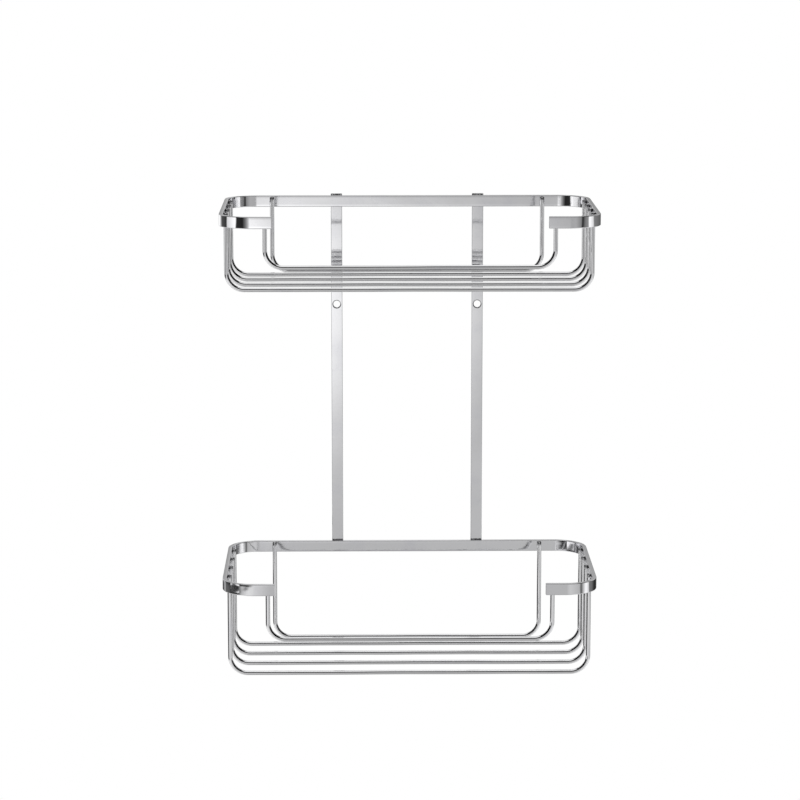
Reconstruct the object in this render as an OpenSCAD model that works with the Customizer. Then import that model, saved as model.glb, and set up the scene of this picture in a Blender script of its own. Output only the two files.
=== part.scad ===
// Two-tier shower caddy: two open-front wire baskets on two upright straps.
// A flat bar is bent into the rim of each basket. Round wires, each bent to a U, hang from the
// rim and make the sides and the base. Everything is welded, so nothing moves.
// The origin is midway between the two screw holes, on the wall. +X is to the right, +Y goes
// into the wall and +Z is up. The straps' back faces lie on the wall, at y = 0.

/* [Baskets] */
// Outside width of both baskets
basket_w = 256; // [200:1:320]
// Outside depth of both baskets, from the back of the back bar to the front of the stubs
basket_d = 135; // [105:1:180]
// Outside radius of the rims' four corners
corner_r = 22; // [14:0.5:30]
// Straight length of each front stub, past the corner
stub_l = 14; // [9:0.5:30]
// Height from the lower rim's top edge to the upper rim's top edge
tier_pitch = 250; // [150:1:400]
// Upper basket, from the rim's top edge down to the middle of the base wires
upper_depth = 53.5; // [44:0.5:100]
// Lower basket, from the rim's top edge down to the middle of the base wires
lower_depth = 71; // [44:0.5:120]

/* [Bar and wire] */
// Height of the rims' flat bar
bar_h = 8; // [5:0.5:12]
// Thickness of the rims' flat bar
bar_t = 3; // [2:0.25:4]
// Diameter of every wire
wire_d = 3; // [2:0.25:4]
// Radius of the wires' bends, to the middle of the wire
bend_r = 12; // [6:0.5:15]
// How deep a weld sets a wire down flat against its bar
weld_set = 0.3; // [0.2:0.05:0.6]
// How far below a rim's top edge its wires end
wire_end_gap = 1.5; // [0.5:0.1:2.5]

/* [Wire places] */
// From the end of the rear corners' bend to the middle of the rear wire's legs, along the back bar
rear_leg_margin = 10.5; // [3:0.5:20]
// From the end of the rear corners' bend to the middle of the first base wire
first_wire_margin = 1.5; // [1.5:0.5:8]
// From the end of the front corners' bend to the middle of the last base wire
last_wire_margin = 11.5; // [2:0.5:16]
// From the end of a stub to the middle of the front rail's leg
rail_leg_margin = 4.7; // [2:0.1:7]
// From the upper rim's top edge down to the middle of its front rail
upper_rail_drop = 34.5; // [26:0.5:40]
// From the lower rim's top edge down to the middle of its front rail
lower_rail_drop = 39.5; // [26:0.5:40]

/* [Straps] */
// Width of the straps
strap_w = 8; // [7:0.5:16]
// Thickness of the straps, which is also the rims' distance from the wall
strap_t = 2.5; // [1.5:0.25:5]
// Distance between the middles of the two straps, and of their screw holes
strap_pitch = 100; // [60:1:130]
// How far the straps stand above the upper rim's top edge
strap_rise = 1; // [0:0.5:6]
// Diameter of the screw holes
hole_d = 5; // [3:0.1:6]
// From the upper rim's top edge down to the middle of the screw holes
hole_drop = 78; // [50:1:140]

/* [Hidden] */
$fn = 64;

base_wires = 4;
cut_over = 1;                                   // how far a cutter runs past what it cuts
bar_chrome = [0.80, 0.80, 0.82];
wire_chrome = [0.72, 0.72, 0.74];

// Heights
upper_z = hole_drop;                            // top edge of the upper rim
lower_z = upper_z - tier_pitch;                 // top edge of the lower rim

// Places along Y, all in front of the wall
back_y = -strap_t;                              // back of the back bars
front_y = back_y - basket_d;                    // front of the stubs
rear_bend_y = back_y - corner_r;                // where the side bars start
front_bend_y = front_y + corner_r;              // where the side bars end
wire_seat = wire_d / 2 - weld_set;              // from a bar's face to the middle of its wire
rear_wire_y = back_y - bar_t - wire_seat;
front_rail_y = front_y + bar_t + wire_seat;
first_wire_y = rear_bend_y - first_wire_margin;
last_wire_y = front_bend_y + last_wire_margin;
wire_step = (last_wire_y - first_wire_y) / (base_wires - 1);

// Places along X, the same on both sides
bend_x = basket_w / 2 - corner_r;               // where the back bar and the stubs meet the corners
stub_end_x = bend_x - stub_l;
rear_leg_x = bend_x - rear_leg_margin;
base_leg_x = basket_w / 2 - bar_t - wire_seat;
rail_leg_x = stub_end_x + rail_leg_margin;

// A flat bar bent round the back, both sides and the two front corners
module rim_bar(top_z) {
    translate([0, 0, top_z - bar_h]) {
        translate([-bend_x, back_y - bar_t, 0]) cube([2 * bend_x, bar_t, bar_h]);
        for (side = [0, 1]) mirror([side, 0, 0]) {
            translate([basket_w / 2 - bar_t, front_bend_y, 0])
                cube([bar_t, rear_bend_y - front_bend_y, bar_h]);
            translate([stub_end_x, front_y, 0]) cube([stub_l, bar_t, bar_h]);
            translate([bend_x, rear_bend_y, 0]) corner_bar();
            translate([bend_x, front_bend_y, 0]) mirror([0, 1, 0]) corner_bar();
        }
    }
}

// A quarter turn of the flat bar, from +X round to +Y
module corner_bar() {
    rotate_extrude(angle = 90) translate([corner_r - bar_t, 0]) square([bar_t, bar_h]);
}

// A round wire bent to a U: two legs, two bends and a level run
module bent_wire(leg_x, wire_y, end_z, run_z) {
    bend_z = run_z + bend_r;
    turn_x = leg_x - bend_r;
    translate([-turn_x, wire_y, run_z]) rotate([0, 90, 0]) cylinder(d = wire_d, h = 2 * turn_x);
    for (side = [0, 1]) mirror([side, 0, 0]) {
        translate([leg_x, wire_y, bend_z]) cylinder(d = wire_d, h = end_z - bend_z);
        translate([turn_x, wire_y, bend_z]) rotate([-90, 0, 0])
            rotate_extrude(angle = 90) translate([bend_r, 0]) circle(d = wire_d);
    }
}

// A wire with its legs set down flat against the rim that it is welded to
module welded_wire(leg_x, wire_y, rim_z, drop) {
    color(wire_chrome) difference() {
        bent_wire(leg_x, wire_y, rim_z - wire_end_gap, rim_z - drop);
        rim_bar(rim_z);
    }
}

// An upright strap with its screw hole
module strap(x) {
    strap_top = upper_z + strap_rise;
    strap_foot = lower_z - bar_h;
    color(bar_chrome) difference() {
        translate([x - strap_w / 2, -strap_t, strap_foot])
            cube([strap_w, strap_t, strap_top - strap_foot]);
        translate([x, cut_over, 0]) rotate([90, 0, 0])
            cylinder(d = hole_d, h = strap_t + 2 * cut_over);
    }
}

module upper_rim() { color(bar_chrome) rim_bar(upper_z); }
module lower_rim() { color(bar_chrome) rim_bar(lower_z); }
module left_strap() { strap(-strap_pitch / 2); }
module right_strap() { strap(strap_pitch / 2); }

module upper_rear_wire() { welded_wire(rear_leg_x, rear_wire_y, upper_z, upper_depth); }
module lower_rear_wire() { welded_wire(rear_leg_x, rear_wire_y, lower_z, lower_depth); }

// Base wires are counted from the wall
module base_wire(number, rim_z, depth) {
    welded_wire(base_leg_x, first_wire_y + (number - 1) * wire_step, rim_z, depth);
}

module upper_base_wire(number) { base_wire(number, upper_z, upper_depth); }
module lower_base_wire(number) { base_wire(number, lower_z, lower_depth); }

module upper_front_rail() { welded_wire(rail_leg_x, front_rail_y, upper_z, upper_rail_drop); }
module lower_front_rail() { welded_wire(rail_leg_x, front_rail_y, lower_z, lower_rail_drop); }

upper_rim();
lower_rim();
left_strap();
right_strap();
upper_rear_wire();
upper_base_wire(1);  // upper_base_wire_1
upper_base_wire(2);  // upper_base_wire_2
upper_base_wire(3);  // upper_base_wire_3
upper_base_wire(4);  // upper_base_wire_4
upper_front_rail();
lower_rear_wire();
lower_base_wire(1);  // lower_base_wire_1
lower_base_wire(2);  // lower_base_wire_2
lower_base_wire(3);  // lower_base_wire_3
lower_base_wire(4);  // lower_base_wire_4
lower_front_rail();
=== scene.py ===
"""Builds the looks of a polished two-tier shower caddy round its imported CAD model.

The rims are bent from flat bar, the straps are cut and drilled, the wires are bent to a U each, and
the welds are laid where wire meets bar. Everything is in metres, in the frame of the CAD model.
"""

import math

import bpy
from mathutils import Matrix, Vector


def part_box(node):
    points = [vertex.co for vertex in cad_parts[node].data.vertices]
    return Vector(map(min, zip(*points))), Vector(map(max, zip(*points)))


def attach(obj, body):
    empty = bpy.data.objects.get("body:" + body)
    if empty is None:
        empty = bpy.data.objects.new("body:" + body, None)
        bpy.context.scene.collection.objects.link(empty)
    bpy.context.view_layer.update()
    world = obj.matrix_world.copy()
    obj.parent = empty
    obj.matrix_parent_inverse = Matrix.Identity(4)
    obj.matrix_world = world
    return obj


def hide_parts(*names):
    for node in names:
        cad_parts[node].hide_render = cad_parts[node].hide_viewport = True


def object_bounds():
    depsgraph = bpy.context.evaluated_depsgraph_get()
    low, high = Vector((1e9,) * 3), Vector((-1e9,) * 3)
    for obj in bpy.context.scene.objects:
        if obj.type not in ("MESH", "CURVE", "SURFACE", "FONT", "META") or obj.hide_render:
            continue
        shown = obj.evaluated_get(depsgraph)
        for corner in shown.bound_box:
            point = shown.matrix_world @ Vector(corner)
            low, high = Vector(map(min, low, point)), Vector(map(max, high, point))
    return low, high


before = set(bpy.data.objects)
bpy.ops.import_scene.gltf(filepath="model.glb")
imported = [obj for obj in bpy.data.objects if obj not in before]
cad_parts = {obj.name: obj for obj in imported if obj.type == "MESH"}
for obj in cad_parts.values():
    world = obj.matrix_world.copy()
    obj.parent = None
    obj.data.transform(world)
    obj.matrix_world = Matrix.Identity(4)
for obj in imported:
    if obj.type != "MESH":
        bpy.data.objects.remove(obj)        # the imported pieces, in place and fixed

bl_info = {
    "name": "Shower Caddy",
    "version": (1, 0, 0),
    "blender": (4, 5, 0),
    "location": "View3D > Sidebar > Shower Caddy",
    "description": "Models a chrome wire shower caddy: rims, straps, wires, welds and stage",
    "category": "Object",
}

MM = 0.001
CAD_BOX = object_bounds()
BODY = "root"
TIERS = ("upper", "lower")
SIDES = (-1, 1)
QUARTER = math.radians(90)


# ---------------------------------------------------------------- sizes read from the frame


def points_of(node):
    """Every vertex of a CAD node."""
    return [v.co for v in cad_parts[node].data.vertices]


def near(value, target):
    """True if two lengths are the same to a hundredth of a millimetre."""
    return abs(value - target) < 0.01 * MM


class Rim:
    """The sizes of a rim: a flat bar bent round a rectangle that is open at the front."""

    def __init__(self, node):
        low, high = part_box(node)
        front = [abs(p.x) for p in points_of(node) if near(p.y, low.y)]
        self.back, self.front = high.y, low.y
        self.top, self.bottom = high.z, low.z
        self.half_width = high.x
        self.stub_end = min(front)
        self.bend_x = max(front)
        self.radius = high.x - self.bend_x
        end_face = [p.y for p in points_of(node) if near(abs(p.x), self.stub_end)]
        self.thickness = max(end_face) - min(end_face)
        self.rear_bend_y = high.y - self.radius
        self.front_bend_y = low.y + self.radius


class Wire:
    """The sizes of a round wire bent to a U: two legs, two bends and a level run."""

    def __init__(self, node):
        low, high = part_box(node)
        self.diameter = min(high.y - low.y, high.x - low.x)
        radius = self.diameter / 2
        self.y = (low.y + high.y) / 2
        self.leg_x = high.x - radius
        self.end_z = high.z
        self.run_z = low.z + radius
        self.turn_x = max(p.x for p in points_of(node) if near(p.z, low.z))
        self.bend = self.leg_x - self.turn_x


# ---------------------------------------------------------------- what a user may change


class CaddyBarSettings(bpy.types.PropertyGroup):
    """How the flat bar of the rims and straps is finished."""

    edge_radius: bpy.props.FloatProperty(
        name="Edge Radius", description="Radius of the flat bar's long edges",
        default=0.5 * MM, min=0.2 * MM, max=1.2 * MM, unit="LENGTH")
    end_radius: bpy.props.FloatProperty(
        name="End Radius", description="Radius of the edges where a bar was cut off",
        default=0.35 * MM, min=0.1 * MM, max=0.9 * MM, unit="LENGTH")
    step: bpy.props.FloatProperty(
        name="Step", description="Length of each stretch that a straight bar is drawn out by",
        default=6 * MM, min=2 * MM, max=20 * MM, unit="LENGTH")
    bend_steps: bpy.props.IntProperty(
        name="Bend Steps", description="Number of steps in each corner of a rim",
        default=24, min=8, max=48)
    ripple: bpy.props.FloatProperty(
        name="Ripple", description="Depth of the slow waves that rolling leaves in a bar's faces",
        default=0.05 * MM, min=0.0, max=0.2 * MM, unit="LENGTH")
    bend_ripple: bpy.props.FloatProperty(
        name="Bend Ripple", description="Depth of the waves that bending leaves in a rim's corners",
        default=0.12 * MM, min=0.0, max=0.4 * MM, unit="LENGTH")
    colour: bpy.props.FloatVectorProperty(
        name="Bar Colour", description="Colour of the plating on the flat bar",
        default=(0.80, 0.80, 0.815), size=3, min=0.0, max=1.0, subtype="COLOR")
    roughness: bpy.props.FloatProperty(
        name="Bar Roughness", description="Roughness of the plating on the flat bar",
        default=0.035, min=0.0, max=0.5, subtype="FACTOR")
    # on the straps this dark colour is painted shade round the holes and along the weld above the
    # lower bar, and worn plating at the cut top
    wear_and_shade_colour: bpy.props.FloatVectorProperty(
        name="Worn Colour", description="Colour of the plating at cut ends, holes and welds",
        default=(0.10, 0.10, 0.105), size=3, min=0.0, max=1.0, subtype="COLOR")


class CaddyWireSettings(bpy.types.PropertyGroup):
    """How the round wires are finished."""

    sides: bpy.props.IntProperty(
        name="Sides", description="Number of sides round a wire", default=32, min=12, max=64)
    bend_steps: bpy.props.IntProperty(
        name="Bend Steps", description="Number of steps in each bend of a wire",
        default=18, min=6, max=32)
    step: bpy.props.FloatProperty(
        name="Step", description="Length of each stretch that a straight wire is drawn out by",
        default=6 * MM, min=2 * MM, max=20 * MM, unit="LENGTH")
    end_radius: bpy.props.FloatProperty(
        name="End Radius", description="Radius of the edge round a wire's cut end",
        default=0.35 * MM, min=0.1 * MM, max=0.7 * MM, unit="LENGTH")
    bow: bpy.props.FloatProperty(
        name="Bow", description="How far hand bending leaves a wire off its straight line",
        default=0.35 * MM, min=0.0, max=1.5 * MM, unit="LENGTH")
    weld_bulge: bpy.props.FloatProperty(
        name="Weld Bulge", description="How far the weld metal stands out between wire and bar",
        default=0.55 * MM, min=0.2 * MM, max=1.0 * MM, unit="LENGTH")
    colour: bpy.props.FloatVectorProperty(
        name="Wire Colour", description="Colour of the plating on the wires",
        default=(0.88, 0.88, 0.89), size=3, min=0.0, max=1.0, subtype="COLOR")
    roughness: bpy.props.FloatProperty(
        name="Wire Roughness", description="Roughness of the plating on the wires",
        default=0.03, min=0.0, max=0.5, subtype="FACTOR")
    # on the wires this dark colour is worn plating only, at their welded ends
    wear_and_shade_colour: bpy.props.FloatVectorProperty(
        name="Worn Colour", description="Colour of the plating at the wires' welded ends",
        default=(0.20, 0.20, 0.21), size=3, min=0.0, max=1.0, subtype="COLOR")


class CaddyStageSettings(bpy.types.PropertyGroup):
    """The floor, the lights and the camera."""

    floor_drop: bpy.props.FloatProperty(
        name="Floor Drop", description="How far the floor lies below the lower basket",
        default=0.09, min=0.0, max=1.0, unit="LENGTH")
    floor_colour: bpy.props.FloatVectorProperty(
        name="Floor Colour", description="Colour of the plain floor",
        default=(1.0, 1.0, 1.0), size=3, min=0.0, max=1.0, subtype="COLOR")
    softbox_strength: bpy.props.FloatProperty(
        name="Softbox Strength", description="Brightness of the side softboxes",
        default=1.35, min=0.0, max=10.0)
    camera_place: bpy.props.FloatVectorProperty(
        name="Camera Place", description="Where the camera stands",
        default=(-0.0344, -2.0570, 0.2999), size=3, subtype="TRANSLATION", unit="LENGTH")
    camera_yaw: bpy.props.FloatProperty(
        name="Camera Yaw", description="How far the camera is turned to its right",
        default=math.radians(0.82), unit="ROTATION")
    camera_pitch: bpy.props.FloatProperty(
        name="Camera Pitch", description="How far the camera looks down",
        default=math.radians(10.19), unit="ROTATION")
    camera_lens: bpy.props.FloatProperty(
        name="Camera Lens", description="Focal length in millimetres on a 36 mm sensor",
        default=131.1, min=20.0, max=400.0)


# ---------------------------------------------------------------- tools shared by the pieces


def deselect():
    """Leaves object mode with nothing selected."""
    if bpy.context.object and bpy.context.object.mode != "OBJECT":
        bpy.ops.object.mode_set(mode="OBJECT")
    bpy.ops.object.select_all(action="DESELECT")


def place(piece, location, rotation=(0.0, 0.0, 0.0), scale=(1.0, 1.0, 1.0)):
    """Moves a fresh primitive to its place and writes that place into its mesh."""
    piece.location, piece.rotation_euler, piece.scale = location, rotation, scale
    bpy.ops.object.transform_apply(location=True, rotation=True, scale=True)


def use_modifier(piece, kind, **settings):
    """Adds a modifier, sets it and applies it."""
    deselect()
    piece.select_set(True)
    bpy.context.view_layer.objects.active = piece
    bpy.ops.object.modifier_add(type=kind)
    modifier = piece.modifiers[-1]
    for name, value in settings.items():
        setattr(modifier, name, value)
    bpy.ops.object.modifier_apply(modifier=modifier.name)


def waves(name, size, depth=1):
    """A cloud texture whose waves are about `size` long."""
    texture = bpy.data.textures.new(name, "CLOUDS")
    texture.noise_scale = size
    texture.noise_depth = depth
    texture.cloud_type = "GRAYSCALE"
    return texture


def draw_out(direction, length, step):
    """Extrudes what is selected along a straight line, in even stretches."""
    count = max(1, round(length / step))
    stretch = Vector(direction) * (length / count)
    for _ in range(count):
        bpy.ops.mesh.extrude_region_move(TRANSFORM_OT_translate={"value": stretch})


def bend(centre, axis, steps):
    """Carries what is selected a quarter turn round a bend, clockwise seen along minus the axis."""
    bpy.ops.mesh.spin(steps=steps, angle=QUARTER, center=centre, axis=axis)


def select_faces(piece, test):
    """Selects the faces that pass a test, in edit mode, and nothing else."""
    bpy.ops.object.mode_set(mode="OBJECT")
    mesh = piece.data
    for vertex in mesh.vertices:
        vertex.select = False
    for edge in mesh.edges:
        edge.select = False
    for face in mesh.polygons:
        face.select = test(face)
    bpy.ops.object.mode_set(mode="EDIT")
    bpy.ops.mesh.select_mode(type="FACE")


def round_cut_ends(piece, radius, test):
    """Rounds the edges of the end faces that pass a test."""
    select_faces(piece, test)
    bpy.ops.mesh.bevel(offset=radius, segments=3, affect="EDGES", clamp_overlap=True)


def close_up(piece):
    """Ends a piece's edit: doubles merged, faces pointing outwards."""
    bpy.ops.mesh.select_all(action="SELECT")
    bpy.ops.mesh.remove_doubles(threshold=0.002 * MM)
    bpy.ops.mesh.normals_make_consistent(inside=False)
    bpy.ops.object.mode_set(mode="OBJECT")


def finish_piece(piece, name, material, slot):
    """Names a piece, shades it, gives it its material and puts it in the CAD node's stead."""
    deselect()
    piece.select_set(True)
    bpy.context.view_layer.objects.active = piece
    bpy.ops.object.shade_smooth()
    if slot == "bar":
        use_modifier(piece, "WEIGHTED_NORMAL", mode="FACE_AREA", weight=100, keep_sharp=False)
    piece.name = name + "_finished"
    piece.data.name = piece.name
    piece.data.materials.clear()
    piece.data.materials.append(material)
    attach(piece, BODY)
    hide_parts(name)


# ---------------------------------------------------------------- finishes


HAZE_RANGE = (0.45, 0.75)            # noise levels between which the haze comes in
HAZE_TINT = (0.93, 0.93, 0.95, 1.0)
WORN_ROUGHNESS = 0.16                # how much rougher worn plating is
SPECKLE_SCALE = 1500.0
SPECKLE_RANGE = (0.62, 0.45)         # noise levels between which a dark speck comes in: a burnt spot on worn plating, a speck of painted shade in the straps' shaded places
PEEL_SCALE = 260.0
LINE_HEIGHT = 0.25                   # height of the polishing lines against the orange peel
PIT_HEIGHT = -6.0                    # and of the burnt spots, which are pits
WEAR_AND_SHADE_FULL = 0.7                      # where a band of wear and painted shade is full and where it ends, as shares
WEAR_AND_SHADE_NONE = 1.3                      # of its half depth
HOLE_SHADE_AND_ROUGHNESS_FULL = 1.12                # where a hole's dark ring is full, as a share of its radius: painted shade in its colour, rougher plating in its roughness
RIM_LINES = (40.0, 40.0, 1400.0)     # polishing lines level along the rims
STRAP_LINES = (1400.0, 1400.0, 40.0)  # and up and down along the straps
WIRE_GRAIN = (300.0, 300.0, 300.0)
BAR_BUMP = 0.003 * MM
WIRE_BUMP = 0.0012 * MM


def socket(group, name, kind, direction, default=None):
    """Adds a named socket to a node group."""
    made = group.interface.new_socket(name=name, in_out=direction, socket_type=kind)
    if default is not None:
        made.default_value = default


def plating_group():
    """The marks that all the plated metal shares: polishing lines, haze and a faint orange peel."""
    name = "plating_marks"
    if name in bpy.data.node_groups:
        return bpy.data.node_groups[name]
    group = bpy.data.node_groups.new(name, "ShaderNodeTree")
    socket(group, "Line Stretch", "NodeSocketVector", "INPUT", (30.0, 30.0, 1500.0))
    socket(group, "Haze Size", "NodeSocketFloat", "INPUT", 40.0)
    socket(group, "Base Roughness", "NodeSocketFloat", "INPUT", 0.05)
    socket(group, "Haze Amount", "NodeSocketFloat", "INPUT", 0.035)
    socket(group, "Line Amount", "NodeSocketFloat", "INPUT", 0.02)
    socket(group, "Tint", "NodeSocketColor", "INPUT", (0.8, 0.8, 0.8, 1.0))
    # the worn mask and its tint mark worn plating and, on the straps, painted shade as well
    socket(group, "Worn", "NodeSocketFloat", "INPUT", 0.0)
    socket(group, "Worn Tint", "NodeSocketColor", "INPUT", (0.1, 0.1, 0.1, 1.0))
    socket(group, "Colour", "NodeSocketColor", "OUTPUT")
    socket(group, "Roughness", "NodeSocketFloat", "OUTPUT")
    socket(group, "Height", "NodeSocketFloat", "OUTPUT")
    nodes, links = group.nodes, group.links
    given = nodes.new("NodeGroupInput")
    result = nodes.new("NodeGroupOutput")
    where = nodes.new("ShaderNodeTexCoord")

    stretch = nodes.new("ShaderNodeVectorMath")
    stretch.operation = "MULTIPLY"
    links.new(where.outputs["Object"], stretch.inputs[0])
    links.new(given.outputs["Line Stretch"], stretch.inputs[1])
    lines = nodes.new("ShaderNodeTexNoise")
    lines.inputs["Scale"].default_value = 1.0
    lines.inputs["Detail"].default_value = 3.0
    links.new(stretch.outputs["Vector"], lines.inputs["Vector"])

    haze = nodes.new("ShaderNodeTexNoise")
    haze.inputs["Detail"].default_value = 4.0
    haze.inputs["Roughness"].default_value = 0.6
    links.new(where.outputs["Object"], haze.inputs["Vector"])
    links.new(given.outputs["Haze Size"], haze.inputs["Scale"])
    patches = nodes.new("ShaderNodeMapRange")
    patches.interpolation_type = "SMOOTHSTEP"
    patches.inputs["From Min"].default_value = HAZE_RANGE[0]
    patches.inputs["From Max"].default_value = HAZE_RANGE[1]
    links.new(haze.outputs["Fac"], patches.inputs["Value"])

    hazed = nodes.new("ShaderNodeMath")
    hazed.operation = "MULTIPLY_ADD"
    links.new(patches.outputs["Result"], hazed.inputs[0])
    links.new(given.outputs["Haze Amount"], hazed.inputs[1])
    links.new(given.outputs["Base Roughness"], hazed.inputs[2])
    lined = nodes.new("ShaderNodeMath")
    lined.operation = "MULTIPLY_ADD"
    links.new(lines.outputs["Fac"], lined.inputs[0])
    links.new(given.outputs["Line Amount"], lined.inputs[1])
    links.new(hazed.outputs["Value"], lined.inputs[2])
    dulled = nodes.new("ShaderNodeMath")
    dulled.operation = "MULTIPLY_ADD"
    links.new(given.outputs["Worn"], dulled.inputs[0])
    dulled.inputs[1].default_value = WORN_ROUGHNESS
    links.new(lined.outputs["Value"], dulled.inputs[2])
    links.new(dulled.outputs["Value"], result.inputs["Roughness"])

    shade = nodes.new("ShaderNodeMix")
    shade.data_type = "RGBA"
    shade.blend_type = "MULTIPLY"
    shade.inputs["B"].default_value = HAZE_TINT
    links.new(patches.outputs["Result"], shade.inputs["Factor"])
    links.new(given.outputs["Tint"], shade.inputs["A"])

    # dark speckles under the worn mask: burnt and ground metal where the plating is worn, painted
    # shade round the straps' holes and along the weld above the lower bar
    burn = nodes.new("ShaderNodeTexNoise")
    burn.inputs["Scale"].default_value = SPECKLE_SCALE
    burn.inputs["Detail"].default_value = 2.0
    links.new(where.outputs["Object"], burn.inputs["Vector"])
    speckle = nodes.new("ShaderNodeMapRange")
    speckle.inputs["From Min"].default_value = SPECKLE_RANGE[0]
    speckle.inputs["From Max"].default_value = SPECKLE_RANGE[1]
    links.new(burn.outputs["Fac"], speckle.inputs["Value"])
    spots = nodes.new("ShaderNodeMath")
    spots.operation = "MULTIPLY"
    links.new(speckle.outputs["Result"], spots.inputs[0])
    links.new(given.outputs["Worn"], spots.inputs[1])
    worn = nodes.new("ShaderNodeMix")
    worn.data_type = "RGBA"
    links.new(spots.outputs["Value"], worn.inputs["Factor"])
    links.new(shade.outputs["Result"], worn.inputs["A"])
    links.new(given.outputs["Worn Tint"], worn.inputs["B"])
    links.new(worn.outputs["Result"], result.inputs["Colour"])

    peel = nodes.new("ShaderNodeTexNoise")
    peel.inputs["Scale"].default_value = PEEL_SCALE
    peel.inputs["Detail"].default_value = 1.0
    links.new(where.outputs["Object"], peel.inputs["Vector"])
    height = nodes.new("ShaderNodeMath")
    height.operation = "MULTIPLY_ADD"
    height.inputs[1].default_value = LINE_HEIGHT
    links.new(lines.outputs["Fac"], height.inputs[0])
    links.new(peel.outputs["Fac"], height.inputs[2])
    pitted = nodes.new("ShaderNodeMath")
    pitted.operation = "MULTIPLY_ADD"
    links.new(spots.outputs["Value"], pitted.inputs[0])
    pitted.inputs[1].default_value = PIT_HEIGHT
    links.new(height.outputs["Value"], pitted.inputs[2])
    links.new(pitted.outputs["Value"], result.inputs["Height"])
    return group


def fade(nodes, links, value, full, none):
    """A mask that is 1 where the value is below `full` and 0 above `none`."""
    node = nodes.new("ShaderNodeMapRange")
    node.interpolation_type = "SMOOTHSTEP"
    node.inputs["From Min"].default_value = none
    node.inputs["From Max"].default_value = full
    links.new(value, node.inputs["Value"])
    return node.outputs["Result"]


def offset_from(nodes, links, value, level):
    """How far a coordinate is from a level, either way."""
    minus = nodes.new("ShaderNodeMath")
    minus.operation = "SUBTRACT"
    links.new(value, minus.inputs[0])
    minus.inputs[1].default_value = level
    size = nodes.new("ShaderNodeMath")
    size.operation = "ABSOLUTE"
    links.new(minus.outputs["Value"], size.inputs[0])
    return size.outputs["Value"]


def wear_and_shade_in(material, bands, holes=()):
    """Darkens a plated material in level bands (height, half depth) and round drilled holes; the
    callers use it for worn plating and for painted shade.
    """
    nodes, links = material.node_tree.nodes, material.node_tree.links
    where = nodes.new("ShaderNodeTexCoord")
    parts = nodes.new("ShaderNodeSeparateXYZ")
    links.new(where.outputs["Object"], parts.inputs["Vector"])
    masks = []
    for height, reach in bands:
        away = offset_from(nodes, links, parts.outputs["Z"], height)
        masks.append(fade(nodes, links, away, reach * WEAR_AND_SHADE_FULL, reach * WEAR_AND_SHADE_NONE))
    # round each drilled hole, a ring whose darker colour is painted shade and whose roughness is
    # rougher plating
    for centre, radius in holes:
        across = offset_from(nodes, links, parts.outputs["X"], centre.x)
        up = offset_from(nodes, links, parts.outputs["Z"], centre.z)
        flat = nodes.new("ShaderNodeCombineXYZ")
        links.new(across, flat.inputs["X"])
        links.new(up, flat.inputs["Z"])
        length = nodes.new("ShaderNodeVectorMath")
        length.operation = "LENGTH"
        links.new(flat.outputs["Vector"], length.inputs[0])
        full, none = radius * HOLE_SHADE_AND_ROUGHNESS_FULL, radius * WEAR_AND_SHADE_NONE
        masks.append(fade(nodes, links, length.outputs["Value"], full, none))
    total = masks[0]
    for mask in masks[1:]:
        most = nodes.new("ShaderNodeMath")
        most.operation = "MAXIMUM"
        links.new(total, most.inputs[0])
        links.new(mask, most.inputs[1])
        total = most.outputs["Value"]
    links.new(total, nodes["marks"].inputs["Worn"])


def plated_metal(name, settings, stretch, bump_distance):
    """Polished chrome plate, with its marks drawn along the metal by `stretch`."""
    material = bpy.data.materials.new(name)
    material.use_nodes = True
    material.diffuse_color = (*settings.colour, 1.0)
    nodes, links = material.node_tree.nodes, material.node_tree.links
    surface = nodes["Principled BSDF"]
    surface.inputs["Metallic"].default_value = 1.0
    marks = nodes.new("ShaderNodeGroup")
    marks.name = "marks"
    marks.node_tree = plating_group()
    # the dark tint for worn plating, which on the straps also paints shade round the holes and along
    # the weld above the lower bar
    marks.inputs["Worn Tint"].default_value = (*settings.wear_and_shade_colour, 1.0)
    marks.inputs["Line Stretch"].default_value = stretch
    marks.inputs["Base Roughness"].default_value = settings.roughness
    marks.inputs["Tint"].default_value = (*settings.colour, 1.0)
    links.new(marks.outputs["Colour"], surface.inputs["Base Color"])
    links.new(marks.outputs["Roughness"], surface.inputs["Roughness"])
    bump = nodes.new("ShaderNodeBump")
    bump.inputs["Strength"].default_value = 1.0
    bump.inputs["Distance"].default_value = bump_distance
    links.new(marks.outputs["Height"], bump.inputs["Height"])
    links.new(bump.outputs["Normal"], surface.inputs["Normal"])
    return material


def bar_chrome():
    """The plating on the rims, with its lines drawn level along the bar."""
    if "bar_chrome" in bpy.data.materials:
        return bpy.data.materials["bar_chrome"]
    settings = bpy.context.scene.caddy_bar
    return plated_metal("bar_chrome", settings, RIM_LINES, BAR_BUMP)


def strap_chrome(top, holes):
    """The plating on the straps: lines up and down, worn at the cut top, with painted shade along the
    weld above the lower bar and round the holes.
    """
    settings = bpy.context.scene.caddy_bar
    material = plated_metal("strap_chrome", settings, STRAP_LINES, BAR_BUMP)
    # a band of painted shade on the strap just above the lower bar, where it meets the weld; the cut
    # top's band is worn plating
    foot_shade_level = Rim("lower_rim").top + 0.3 * MM
    wear_and_shade_in(material, [(top, 1.2 * MM), (foot_shade_level, 0.45 * MM)], holes)
    return material


def wire_chrome():
    """The plating on the wires, worn at their welded ends."""
    if "wire_chrome" in bpy.data.materials:
        return bpy.data.materials["wire_chrome"]
    settings = bpy.context.scene.caddy_wire
    material = plated_metal("wire_chrome", settings, WIRE_GRAIN, WIRE_BUMP)
    ends = [Wire(tier + "_rear_wire").end_z for tier in TIERS]
    wear_and_shade_in(material, [(end, 1.6 * MM) for end in ends])
    return material


# ---------------------------------------------------------------- rims


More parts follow.
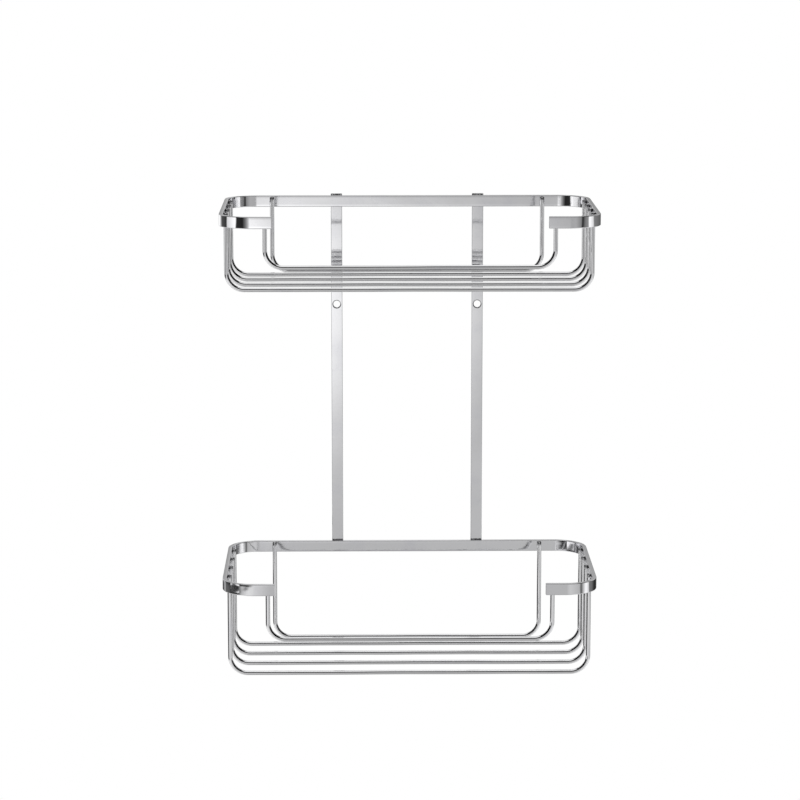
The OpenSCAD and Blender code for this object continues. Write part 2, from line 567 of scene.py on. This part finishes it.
def bar_section(width, thickness, centre, rotation, edge_radius):
    """A flat bar's section with rounded corners, in edit mode and selected."""
    deselect()
    bpy.ops.mesh.primitive_plane_add(size=1.0)
    piece = bpy.context.object
    place(piece, centre, rotation, (width, thickness, 1.0))
    bpy.ops.object.mode_set(mode="EDIT")
    bpy.ops.mesh.select_mode(type="VERT")
    bpy.ops.mesh.select_all(action="SELECT")
    bpy.ops.mesh.bevel(offset=edge_radius, segments=5, affect="VERTICES")
    bpy.ops.mesh.select_mode(type="FACE")
    bpy.ops.mesh.select_all(action="SELECT")
    return piece


def split_faces_along(piece, low, high, count, axis):
    """Cuts a piece across at even heights, so that its faces can carry ripples."""
    for i in range(1, count):
        level = [0.0, 0.0, 0.0]
        level[axis] = low + (high - low) * i / count
        normal = [0.0, 0.0, 0.0]
        normal[axis] = 1.0
        bpy.ops.mesh.select_all(action="SELECT")
        bpy.ops.mesh.bisect(plane_co=level, plane_no=normal)


def bend_rim(name):
    """Bends one rim from a flat bar, starting at the left stub's end."""
    settings = bpy.context.scene.caddy_bar
    rim = Rim(name)
    height = rim.top - rim.bottom
    start = (-rim.stub_end, rim.front + rim.thickness / 2, (rim.top + rim.bottom) / 2)
    piece = bar_section(height, rim.thickness, start, (0.0, QUARTER, 0.0), settings.edge_radius)
    stub = rim.bend_x - rim.stub_end
    side = rim.rear_bend_y - rim.front_bend_y
    turns = settings.bend_steps
    draw_out((-1, 0, 0), stub, settings.step)
    bend((-rim.bend_x, rim.front_bend_y, 0), (0, 0, 1), turns)
    draw_out((0, 1, 0), side, settings.step)
    bend((-rim.bend_x, rim.rear_bend_y, 0), (0, 0, 1), turns)
    draw_out((1, 0, 0), 2 * rim.bend_x, settings.step)
    bend((rim.bend_x, rim.rear_bend_y, 0), (0, 0, 1), turns)
    draw_out((0, -1, 0), side, settings.step)
    bend((rim.bend_x, rim.front_bend_y, 0), (0, 0, 1), turns)
    draw_out((-1, 0, 0), stub, settings.step)
    close_up(piece)
    bpy.ops.object.mode_set(mode="EDIT")
    bpy.ops.mesh.select_mode(type="FACE")
    split_faces_along(piece, rim.bottom, rim.top, 4, 2)

    def is_cut_end(face):
        return near(abs(face.center.x), rim.stub_end) and abs(face.normal.x) > 0.9

    select_faces(piece, is_cut_end)
    bpy.ops.mesh.dissolve_faces()
    round_cut_ends(piece, settings.end_radius, is_cut_end)
    close_up(piece)
    corners = piece.vertex_groups.new(name="corners")
    for v in piece.data.vertices:
        over_x = abs(v.co.x) - rim.bend_x
        over_y = max(v.co.y - rim.rear_bend_y, rim.front_bend_y - v.co.y)
        if over_x > 0 and over_y > 0:
            share = min(over_x, over_y) / (rim.radius * (1 - math.sqrt(0.5)))
            corners.add([v.index], min(1.0, share), "REPLACE")
    use_modifier(piece, "DISPLACE", texture=waves("rolling_waves", 22 * MM),
                 strength=settings.ripple, mid_level=1.0, direction="NORMAL")
    use_modifier(piece, "DISPLACE", texture=waves("bending_waves", 5 * MM),
                 strength=settings.bend_ripple, mid_level=1.0, direction="NORMAL",
                 vertex_group="corners")
    finish_piece(piece, name, bar_chrome(), "bar")


class CADDY_OT_bend_rims(bpy.types.Operator):
    """Bend the two flat-bar rims"""

    bl_idname = "caddy.bend_rims"
    bl_label = "Bend Rims"

    def execute(self, context):
        for tier in TIERS:
            bend_rim(tier + "_rim")
        return {"FINISHED"}


# ---------------------------------------------------------------- straps


HOLE_EDGE_RADIUS = 0.65 * MM    # how far a drill hole's edge is broken


def strap_hole(name):
    """The centre and radius of a strap's screw hole."""
    low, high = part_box(name)
    middle = (low + high) / 2
    edge = [p.z for p in points_of(name)
            if near(p.y, low.y) and low.x + MM / 4 < p.x < high.x - MM / 4]
    centre = Vector((middle.x, middle.y, (min(edge) + max(edge)) / 2))
    return centre, (max(edge) - min(edge)) / 2


def cut_strap(name, material):
    """Cuts one strap from flat bar and drills its screw hole."""
    settings = bpy.context.scene.caddy_bar
    low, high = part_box(name)
    middle = (low + high) / 2
    hole, hole_radius = strap_hole(name)
    top = (middle.x, middle.y, high.z)
    piece = bar_section(high.x - low.x, high.y - low.y, top, (0, 0, 0), settings.edge_radius * 0.8)
    draw_out((0, 0, -1), high.z - low.z, settings.step)
    round_cut_ends(piece, settings.end_radius, lambda face: abs(face.normal.z) > 0.9)
    close_up(piece)
    use_modifier(piece, "DISPLACE", texture=waves("rolling_waves", 30 * MM),
                 strength=settings.ripple, mid_level=1.0, direction="NORMAL")
    drill(piece, hole, hole_radius, high.y - low.y)
    finish_piece(piece, name, material, "bar")


def drill(piece, hole, radius, depth):
    """Drills a round hole along Y and breaks its two sharp edges."""
    deselect()
    bpy.ops.mesh.primitive_cylinder_add(vertices=64, radius=radius, depth=depth * 3)
    cutter = bpy.context.object
    place(cutter, hole, (QUARTER, 0, 0))
    use_modifier(piece, "BOOLEAN", operation="DIFFERENCE", solver="EXACT", object=cutter)
    bpy.data.objects.remove(cutter)
    bpy.ops.object.mode_set(mode="OBJECT")
    mesh = piece.data
    for vertex in mesh.vertices:
        vertex.select = False
    for face in mesh.polygons:
        face.select = False
    for edge in mesh.edges:
        ends = [mesh.vertices[i].co for i in edge.vertices]
        flat = [math.hypot(p.x - hole.x, p.z - hole.z) for p in ends]
        around = all(abs(r - radius) < 0.02 * MM for r in flat)
        edge.select = around and abs(ends[0].y - ends[1].y) < 0.2 * MM
    bpy.ops.object.mode_set(mode="EDIT")
    bpy.ops.mesh.select_mode(type="EDGE")
    bpy.ops.mesh.bevel(offset=HOLE_EDGE_RADIUS, segments=5, affect="EDGES")
    close_up(piece)


class CADDY_OT_cut_straps(bpy.types.Operator):
    """Cut the two straps and drill their screw holes"""

    bl_idname = "caddy.cut_straps"
    bl_label = "Cut Straps"

    def execute(self, context):
        names = ("left_strap", "right_strap")
        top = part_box(names[0])[1].z
        material = strap_chrome(top, [strap_hole(name) for name in names])
        for name in names:
            cut_strap(name, material)
        return {"FINISHED"}


# ---------------------------------------------------------------- wires and their welds


def weld_metal(wire_radius, bar_face_gap, length, bulge):
    """One weld, made at the origin: two beads beside the wire and a nugget at its end.

    The bar's face is at y = 0 with the wire in front of it, and the wire ends at z = 0.
    """
    beads = []
    bead_x = wire_radius * 0.78
    for centre, size in (
        ((-bead_x, -bulge * 0.35, -length * 0.52), (bulge, bulge * 0.8, length * 0.42)),
        ((bead_x, -bulge * 0.30, -length * 0.48), (bulge * 0.9, bulge * 0.85, length * 0.45)),
        ((0, -bar_face_gap * 0.45, bulge * 0.1), (wire_radius * 0.8, bar_face_gap * 0.7, bulge * 1.1)),
    ):
        deselect()
        bpy.ops.mesh.primitive_uv_sphere_add(segments=24, ring_count=16, radius=1.0)
        bead = bpy.context.object
        place(bead, centre, (0, 0, 0), size)
        beads.append(bead)
    deselect()
    for bead in beads:
        bead.select_set(True)
    bpy.context.view_layer.objects.active = beads[0]
    bpy.ops.object.join()
    weld = bpy.context.object
    weld.name = "weld_metal"
    return weld


def lay_weld(weld, location, turn):
    """Copies the weld to a place on a bar, turned about the vertical."""
    copy = weld.copy()
    copy.data = weld.data.copy()
    bpy.context.scene.collection.objects.link(copy)
    deselect()
    copy.select_set(True)
    bpy.context.view_layer.objects.active = copy
    place(copy, location, (0, 0, turn))
    use_modifier(copy, "DISPLACE", texture=waves("weld_ripples", 0.8 * MM, 2),
                 strength=0.55 * MM, mid_level=0.6, direction="NORMAL", texture_coords="GLOBAL")
    return copy


def bend_wire(name, weld_places):
    """Bends one wire to a U, welds its legs on and puts it in its place."""
    settings = bpy.context.scene.caddy_wire
    wire = Wire(name)
    deselect()
    bpy.ops.mesh.primitive_circle_add(
        vertices=settings.sides, radius=wire.diameter / 2, fill_type="NGON")
    piece = bpy.context.object
    place(piece, (-wire.leg_x, wire.y, wire.end_z))
    bpy.ops.object.mode_set(mode="EDIT")
    bpy.ops.mesh.select_mode(type="FACE")
    bpy.ops.mesh.select_all(action="SELECT")
    bend_z = wire.run_z + wire.bend
    leg = wire.end_z - bend_z
    guard = 2 * settings.end_radius
    draw_out((0, 0, -1), guard, guard)
    draw_out((0, 0, -1), leg - guard, settings.step)
    bend((-wire.turn_x, wire.y, bend_z), (0, 1, 0), settings.bend_steps)
    draw_out((1, 0, 0), 2 * wire.turn_x, settings.step)
    bend((wire.turn_x, wire.y, bend_z), (0, 1, 0), settings.bend_steps)
    draw_out((0, 0, 1), leg - guard, settings.step)
    draw_out((0, 0, 1), guard, guard)
    round_cut_ends(piece, settings.end_radius, lambda face: face.normal.z > 0.99)
    close_up(piece)
    for axis in ("X", "Z"):
        use_modifier(piece, "DISPLACE", texture=waves("hand_bending", 55 * MM),
                     strength=settings.bow, mid_level=0.0 if axis == "Z" else 0.5, direction=axis)
    welds = [lay_weld(*weld_place) for weld_place in weld_places]
    deselect()
    for part in (*welds, piece):
        part.select_set(True)
    bpy.context.view_layer.objects.active = piece
    bpy.ops.object.join()
    finish_piece(piece, name, wire_chrome(), "wire")


def weld_for(wire, rim):
    """The weld between a wire of this size and a rim of this size."""
    settings = bpy.context.scene.caddy_wire
    length = wire.end_z - rim.bottom
    return weld_metal(wire.diameter / 2, wire.diameter / 2, length, settings.weld_bulge)


def build_wires(names, weld_place):
    """Builds wires of the same kind in both baskets."""
    for tier in TIERS:
        rim = Rim(tier + "_rim")
        nodes = [f"{tier}_{name}" for name in names]
        weld = weld_for(Wire(nodes[0]), rim)
        for node in nodes:
            wire = Wire(node)
            bend_wire(node, [(weld, *weld_place(wire, rim, side)) for side in SIDES])
        bpy.data.objects.remove(weld)


class CADDY_OT_bend_rear_wires(bpy.types.Operator):
    """Bend the rear wire of each basket and weld it to the back bar"""

    bl_idname = "caddy.bend_rear_wires"
    bl_label = "Bend Rear Wires"

    def execute(self, context):
        build_wires(["rear_wire"], lambda wire, rim, side: (
            (side * wire.leg_x, rim.back - rim.thickness, wire.end_z), 0.0))
        return {"FINISHED"}


class CADDY_OT_bend_base_wires(bpy.types.Operator):
    """Bend the base wires of each basket and weld them between the side bars"""

    bl_idname = "caddy.bend_base_wires"
    bl_label = "Bend Base Wires"

    def execute(self, context):
        names = [f"base_wire_{number}" for number in (1, 2, 3, 4)]
        build_wires(names, lambda wire, rim, side: (
            (side * (rim.half_width - rim.thickness), wire.y, wire.end_z), -side * QUARTER))
        return {"FINISHED"}


class CADDY_OT_bend_front_rails(bpy.types.Operator):
    """Bend the front rail of each basket and weld it behind the stubs"""

    bl_idname = "caddy.bend_front_rails"
    bl_label = "Bend Front Rails"

    def execute(self, context):
        build_wires(["front_rail"], lambda wire, rim, side: (
            (side * wire.leg_x, rim.front + rim.thickness, wire.end_z), 2 * QUARTER))
        return {"FINISHED"}


# ---------------------------------------------------------------- stage


# What the metal mirrors. A card is a stretch of wall: its name, the degrees round from the front at
# which it starts and ends, minus to the left, and its brightness at those two edges. The upper basket
# mirrors the high cards and the lower basket the low ones.
HIGH_CARDS = (
    ("back wall, left", -180, -168, 0.38, 0.40),
    ("rear left lamp", -160, -145, 1.20, 1.10),
    ("rear left flag", -127, -97, 0.10, 0.04),
    ("left softbox", -93, -58, 0.85, 1.30),
    ("left flag", -54, -30, 0.03, 0.02),
    ("left wall", -22, -8, 0.16, 0.60),
    ("camera wall", -4, -1, 0.72, 0.54),
    ("front wall", 2, 25, 0.46, 0.49),
    ("right wall", 26, 44, 0.48, 0.28),
    ("right flag", 48, 52, 0.03, 0.05),
    ("right corner", 60, 72, 0.22, 0.32),
    ("right softbox", 77, 98, 1.30, 0.85),
    ("rear right flag", 102, 165, 0.25, 0.10),
    ("back wall, right", 178, 180, 0.38, 0.38),
)
LOW_CARDS = (
    ("back wall, left", -180, -178, 0.32, 0.32),
    ("rear left flag", -165, -145, 0.06, 0.12),
    ("rear left wall", -136, -132, 0.50, 0.50),
    ("rear left gap", -125, -122, 0.12, 0.14),
    ("rear left card", -108, -104, 0.12, 0.12),
    ("left flag", -96, -60, 0.06, 0.02),
    ("left wall", -47, -28, 0.60, 0.86),
    ("left sheet", -20, -8, 0.90, 0.84),
    ("camera wall", -2.1, -1.6, 0.78, 0.55),
    ("front wall", -1, 3.2, 0.53, 0.57),
    ("front wall, right", 5, 12, 0.54, 0.63),
    ("right wall", 20, 54, 0.70, 0.54),
    ("right flag", 60, 61, 0.10, 0.12),
    ("right softbox", 79, 94, 1.25, 0.85),
    ("rear right card", 99, 110, 0.20, 0.20),
    ("rear right flag", 133, 165, 0.02, 0.08),
)
LAMP = {"azimuth": -4.0, "elevation": -8.3, "half_width": 6.5, "half_height": 2.6, "level": 0.75}
SIDE_FLAG = 0.004        # the dark gap between the walls and the top light
FRONT_FLAG = 0.045
FRONT_FLOOR = 0.40
SIDE_FLOOR = 0.95
BACK_FLOOR = 0.40
BACK_SHEET = 0.70
LOW_SHEET = 0.33
TOP_LIGHT = 1.08
RIGHT_SEAM = 2.4                # how much higher the high ring ends on the right than on the left
LEFT_SEAM = -13.4               # the height in degrees at which it ends on the left
FLOOR_RADIUS = 40.0
FLOOR_BORDER = 30.0
SOFTBOX_PLACE = (1.3, -0.5, 0.6)
SOFTBOX_SIZE = (0.9, 1.0)


def wall_ring(nodes, cards):
    """A colour ramp round the room, with a stop at each edge of each card."""
    stops = []
    for _, start, end, first, last in cards:
        stops += [(start, first), (end, last)]
    node = nodes.new("ShaderNodeValToRGB")
    elements = node.color_ramp.elements
    while len(elements) < len(stops):
        elements.new(0.5)
    for element, (degrees, level) in zip(elements, stops):
        element.position = (degrees + 180) / 360
        element.color = (level, level, level, 1.0)
    return node


def studio_world(context):
    """The surroundings that the chrome mirrors: walls, a soft front lamp, a floor and a top light."""
    world = bpy.data.worlds.new("studio")
    context.scene.world = world
    world.use_nodes = True
    nodes, links = world.node_tree.nodes, world.node_tree.links
    nodes.clear()

    def feed(socket_in, value):
        if isinstance(value, (int, float)):
            is_colour = socket_in.type == "RGBA"
            socket_in.default_value = (value, value, value, 1.0) if is_colour else value
        else:
            links.new(value, socket_in)

    def maths(operation, *values):
        node = nodes.new("ShaderNodeMath")
        node.operation = operation
        for socket_in, value in zip(node.inputs, values):
            feed(socket_in, value)
        return node.outputs["Value"]

    def rise(value, low, high):
        node = nodes.new("ShaderNodeMapRange")
        node.interpolation_type = "SMOOTHSTEP"
        feed(node.inputs["From Min"], low)
        feed(node.inputs["From Max"], high)
        feed(node.inputs["Value"], value)
        return node.outputs["Result"]

    def mix(share, first, second):
        node = nodes.new("ShaderNodeMix")
        node.data_type = "RGBA"
        feed(node.inputs["Factor"], share)
        feed(node.inputs["A"], first)
        feed(node.inputs["B"], second)
        return node.outputs["Result"]

    where = nodes.new("ShaderNodeTexCoord")
    parts = nodes.new("ShaderNodeSeparateXYZ")
    links.new(where.outputs["Generated"], parts.inputs["Vector"])
    to_degrees = 180 / math.pi
    front = maths("MULTIPLY", parts.outputs["Y"], -1.0)
    azimuth = maths("MULTIPLY", maths("ARCTAN2", parts.outputs["X"], front), to_degrees)
    elevation = maths("MULTIPLY", maths("ARCSINE", parts.outputs["Z"]), to_degrees)
    round_room = maths("MULTIPLY_ADD", azimuth, 1 / 360, 0.5)
    high, low = wall_ring(nodes, HIGH_CARDS), wall_ring(nodes, LOW_CARDS)
    for ring in (high, low):
        links.new(round_room, ring.inputs["Fac"])

    # the high ring reaches further down on the left than on the right
    seam = maths("MULTIPLY_ADD", rise(azimuth, -10, 6), RIGHT_SEAM, LEFT_SEAM)
    above = rise(maths("SUBTRACT", elevation, seam), -0.25, 0.45)
    walls = mix(above, low.outputs["Color"], high.outputs["Color"])

    # a soft lamp beside the camera
    across = maths("DIVIDE", maths("SUBTRACT", azimuth, LAMP["azimuth"]), LAMP["half_width"])
    up = maths("DIVIDE", maths("SUBTRACT", elevation, LAMP["elevation"]), LAMP["half_height"])
    spread = maths("ADD", maths("MULTIPLY", across, across), maths("MULTIPLY", up, up))
    glow = maths("MULTIPLY", maths("EXPONENT", maths("MULTIPLY", spread, -1.0)), LAMP["level"])
    lamp_lit = nodes.new("ShaderNodeMix")
    lamp_lit.data_type = "RGBA"
    lamp_lit.blend_type = "ADD"
    lamp_lit.inputs["Factor"].default_value = 1.0
    links.new(walls, lamp_lit.inputs["A"])
    links.new(glow, lamp_lit.inputs["B"])

    # a white sheet behind, from the height of the caddy up, dimmer low down except straight behind
    aside = maths("ABSOLUTE", azimuth)
    behind = rise(parts.outputs["Y"], 0.3, 0.6)
    bright = maths("MAXIMUM", rise(elevation, 8, 26), rise(aside, 176.8, 178.4))
    sheet = maths("MULTIPLY", behind, rise(elevation, -2, 3))
    sheet_level = maths("MULTIPLY_ADD", bright, BACK_SHEET - LOW_SHEET, LOW_SHEET)
    backed = mix(sheet, lamp_lit.outputs["Result"], sheet_level)

    # a dark gap between the walls and the top light, at the front and sides
    sideways = rise(aside, 6, 20)
    gap = maths("MULTIPLY_ADD", sideways, -5.0, 4.0)
    flag = mix(sideways, FRONT_FLAG, SIDE_FLAG)
    over = rise(maths("SUBTRACT", elevation, gap), -2.0, 3.0)
    unlit = maths("MULTIPLY", over, maths("SUBTRACT", 1.0, behind))
    topped = mix(rise(elevation, 61, 66), mix(unlit, backed, flag), TOP_LIGHT)
    front_floor = mix(rise(aside, 20, 60), FRONT_FLOOR, SIDE_FLOOR)
    floor = mix(rise(aside, 115, 150), front_floor, BACK_FLOOR)
    floored = mix(rise(maths("MULTIPLY", elevation, -1.0), 20, 28), topped, floor)
    seen = nodes.new("ShaderNodeLightPath")
    shown = mix(seen.outputs["Is Camera Ray"], floored, 1.0)
    background = nodes.new("ShaderNodeBackground")
    links.new(shown, background.inputs["Color"])
    output = nodes.new("ShaderNodeOutputWorld")
    links.new(background.outputs["Background"], output.inputs["Surface"])


def plain_floor(settings):
    """A wide pale floor that hides itself from below."""
    low, high = CAD_BOX
    deselect()
    bpy.ops.mesh.primitive_circle_add(vertices=96, radius=FLOOR_RADIUS, fill_type="NGON")
    floor = bpy.context.object
    place(floor, (0.0, 0.0, low.z - settings.floor_drop))
    bpy.ops.object.mode_set(mode="EDIT")
    bpy.ops.mesh.select_all(action="SELECT")
    bpy.ops.mesh.inset(thickness=FLOOR_BORDER)
    bpy.ops.object.mode_set(mode="OBJECT")
    floor.name = "floor"
    material = bpy.data.materials.new("pale_floor")
    material.use_nodes = True
    nodes, links = material.node_tree.nodes, material.node_tree.links
    nodes.clear()
    glow = nodes.new("ShaderNodeEmission")
    glow.inputs["Color"].default_value = (*settings.floor_colour, 1.0)
    clear = nodes.new("ShaderNodeBsdfTransparent")
    side = nodes.new("ShaderNodeNewGeometry")
    mix = nodes.new("ShaderNodeMixShader")
    output = nodes.new("ShaderNodeOutputMaterial")
    links.new(side.outputs["Backfacing"], mix.inputs["Fac"])
    links.new(glow.outputs["Emission"], mix.inputs[1])
    links.new(clear.outputs["BSDF"], mix.inputs[2])
    links.new(mix.outputs["Shader"], output.inputs["Surface"])
    floor.data.materials.append(material)
    floor.visible_glossy = False
    floor.visible_shadow = False


def softbox(name, location, target, width, height, level):
    """A soft rectangular light that faces the target with the given brightness."""
    data = bpy.data.lights.new(name, "AREA")
    data.shape = "RECTANGLE"
    data.size, data.size_y = width, height
    data.energy = level * math.pi * width * height
    light = bpy.data.objects.new(name, data)
    light.location = location
    aim = Vector(target) - Vector(location)
    light.rotation_euler = aim.to_track_quat("-Z", "Y").to_euler()
    light.visible_camera = False
    light.visible_glossy = False
    bpy.context.scene.collection.objects.link(light)


class CADDY_OT_set_stage(bpy.types.Operator):
    """Lay the floor, light the studio and stand the camera"""

    bl_idname = "caddy.set_stage"
    bl_label = "Set Stage"

    def execute(self, context):
        settings = context.scene.caddy_stage
        context.scene.view_settings.view_transform = "Standard"
        context.scene.view_settings.look = "None"
        plain_floor(settings)
        studio_world(context)
        level = settings.softbox_strength
        x, y, z = SOFTBOX_PLACE
        softbox("left_softbox", (-x, y, z), (0, 0, 0), *SOFTBOX_SIZE, level)
        softbox("right_softbox", (x, y, z), (0, 0, 0), *SOFTBOX_SIZE, level)
        data = bpy.data.cameras.new("camera")
        data.lens = settings.camera_lens
        data.sensor_width = 36.0
        camera = bpy.data.objects.new("camera", data)
        camera.location = settings.camera_place
        camera.rotation_euler = (QUARTER - settings.camera_pitch, 0.0, -settings.camera_yaw)
        context.scene.collection.objects.link(camera)
        context.scene.camera = camera
        return {"FINISHED"}


# ---------------------------------------------------------------- panel and registration


class CADDY_PT_panel(bpy.types.Panel):
    """Lists the steps that build the caddy"""

    bl_label = "Shower Caddy"
    bl_idname = "CADDY_PT_panel"
    bl_space_type = "VIEW_3D"
    bl_region_type = "UI"
    bl_category = "Shower Caddy"

    def draw(self, context):
        for group in (context.scene.caddy_bar, context.scene.caddy_wire, context.scene.caddy_stage):
            box = self.layout.box()
            for name in group.__annotations__:
                box.prop(group, name)
        for step in STEPS:
            self.layout.operator(step.bl_idname)


STEPS = (
    CADDY_OT_bend_rims,
    CADDY_OT_cut_straps,
    CADDY_OT_bend_rear_wires,
    CADDY_OT_bend_base_wires,
    CADDY_OT_bend_front_rails,
    CADDY_OT_set_stage,
)
CLASSES = (CaddyBarSettings, CaddyWireSettings, CaddyStageSettings, *STEPS, CADDY_PT_panel)


def register():
    for cls in CLASSES:
        bpy.utils.register_class(cls)
    bpy.types.Scene.caddy_bar = bpy.props.PointerProperty(type=CaddyBarSettings)
    bpy.types.Scene.caddy_wire = bpy.props.PointerProperty(type=CaddyWireSettings)
    bpy.types.Scene.caddy_stage = bpy.props.PointerProperty(type=CaddyStageSettings)


def unregister():
    del bpy.types.Scene.caddy_stage
    del bpy.types.Scene.caddy_wire
    del bpy.types.Scene.caddy_bar
    for cls in reversed(CLASSES):
        bpy.utils.unregister_class(cls)


def corners(box):
    """A box's two corners as plain lists."""
    return [list(corner) for corner in box]


def main():
    register()
    for step in STEPS:
        module, name = step.bl_idname.split(".")
        getattr(getattr(bpy.ops, module), name)()


if __name__ == "__main__":
    main()
